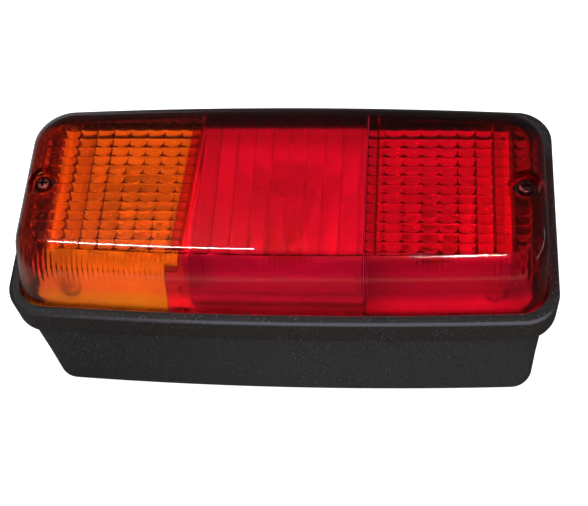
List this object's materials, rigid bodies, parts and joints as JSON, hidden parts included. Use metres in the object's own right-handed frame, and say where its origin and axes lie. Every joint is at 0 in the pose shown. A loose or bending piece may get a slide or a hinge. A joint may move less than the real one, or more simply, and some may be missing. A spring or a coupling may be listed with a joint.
{
  "type": "trailer tail light",
  "caption": "Rectangular three-chamber trailer rear lamp with an amber and red lens, a black housing and bayonet bulbs",
  "frame": {"origin": "middle of the flat back of the housing, which is also the middle of the overall box's bottom", "axes": "+X along the lamp towards the plain red tail chamber, +Z out of the lens, Y across the lamp"},
  "size_m": [0.19, 0.0904, 0.0765],
  "materials": {
    "black_plastic": "fine-grained moulded black plastic",
    "amber_lens": "glossy transparent amber acrylic",
    "red_lens": "glossy transparent red acrylic",
    "white_plastic": "white moulded reflector",
    "rubber": "matt black rubber",
    "steel": "bright zinc-plated steel",
    "dark_steel": "red-brown passivated steel",
    "brass": "plain brass",
    "insulator": "brown phenolic board",
    "bulb_glass": "clear bulb glass"
  },
  "bodies": {
    "root": {"rear_housing": "black_plastic", "lens_gasket": "rubber", "reflector_tray": "white_plastic", "earth_strip": "steel", "cable_grommet": "rubber", "left_screw_insert": "brass", "right_screw_insert": "brass", "tray_screw_1": "steel", "tray_screw_2": "steel", "tray_screw_3": "steel", "tray_screw_4": "steel", "indicator_socket_shell": "steel", "indicator_contact_carrier": "insulator", "indicator_contact_spring": "steel", "indicator_live_terminal": "brass", "indicator_front_rivet": "steel", "indicator_rear_rivet": "steel", "stop_socket_shell": "steel", "stop_contact_carrier": "insulator", "stop_contact_spring": "steel", "stop_live_terminal": "brass", "stop_front_rivet": "steel", "stop_rear_rivet": "steel", "tail_socket_shell": "steel", "tail_contact_carrier": "insulator", "tail_contact_spring": "steel", "tail_live_terminal": "brass", "tail_front_rivet": "steel", "tail_rear_rivet": "steel"},
    "lens_cap": {"indicator_lens": "amber_lens", "stop_lens": "red_lens", "tail_lens": "red_lens"},
    "left_screw_travel_body": {"left_screw_washer": "rubber"},
    "left_screw_body": {"left_lens_screw": "dark_steel"},
    "right_screw_travel_body": {"right_screw_washer": "rubber"},
    "right_screw_body": {"right_lens_screw": "dark_steel"},
    "indicator_contact": {"indicator_contact_plunger": "brass"},
    "indicator_bulb": {"indicator_bulb_cap": "brass", "indicator_bulb_glass": "bulb_glass"},
    "stop_contact": {"stop_contact_plunger": "brass"},
    "stop_bulb": {"stop_bulb_cap": "brass", "stop_bulb_glass": "bulb_glass"},
    "tail_contact": {"tail_contact_plunger": "brass"},
    "tail_bulb": {"tail_bulb_cap": "brass", "tail_bulb_glass": "bulb_glass"}
  },
  "joints": [
    {"name": "lens_lift", "type": "slide", "parent": "root", "child": "lens_cap", "axis": [0, 0, 1], "range_m": [0, 0.06]},
    {"name": "left_screw_travel", "type": "slide", "parent": "lens_cap", "child": "left_screw_travel_body", "axis": [0, 0, 1], "range_m": [0, 0.0072]},
    {"name": "left_screw_turn", "type": "hinge", "parent": "left_screw_travel_body", "child": "left_screw_body", "pos_m": [-0.0833, 0, 0.0745], "axis": [0, 0, 1], "range_deg": [0, 4320]},
    {"name": "right_screw_travel", "type": "slide", "parent": "lens_cap", "child": "right_screw_travel_body", "axis": [0, 0, 1], "range_m": [0, 0.0072]},
    {"name": "right_screw_turn", "type": "hinge", "parent": "right_screw_travel_body", "child": "right_screw_body", "pos_m": [0.0833, 0, 0.0745], "axis": [0, 0, 1], "range_deg": [0, 4320]},
    {"name": "indicator_contact_push", "type": "slide", "parent": "root", "child": "indicator_contact", "axis": [0, 0, -1], "range_m": [0, 0.002], "stiffness_N_per_m": 1200, "deforming": ["indicator_contact_spring"]},
    {"name": "indicator_bulb_turn", "type": "hinge", "parent": "indicator_contact", "child": "indicator_bulb", "pos_m": [-0.0535, 0, 0.0245], "axis": [0, 0, 1], "range_deg": [0, 22]},
    {"name": "stop_contact_push", "type": "slide", "parent": "root", "child": "stop_contact", "axis": [0, 0, -1], "range_m": [0, 0.002], "stiffness_N_per_m": 1200, "deforming": ["stop_contact_spring"]},
    {"name": "stop_bulb_turn", "type": "hinge", "parent": "stop_contact", "child": "stop_bulb", "pos_m": [0, 0, 0.0245], "axis": [0, 0, 1], "range_deg": [0, 22]},
    {"name": "tail_contact_push", "type": "slide", "parent": "root", "child": "tail_contact", "axis": [0, 0, -1], "range_m": [0, 0.002], "stiffness_N_per_m": 1200, "deforming": ["tail_contact_spring"]},
    {"name": "tail_bulb_turn", "type": "hinge", "parent": "tail_contact", "child": "tail_bulb", "pos_m": [0.0535, 0, 0.0245], "axis": [0, 0, 1], "range_deg": [0, 22]}
  ],
  "couplings": [
    {"joint": "left_screw_turn", "follows": "left_screw_travel", "rad_per_m": 10472},
    {"joint": "right_screw_turn", "follows": "right_screw_travel", "rad_per_m": 10472}
  ]
}
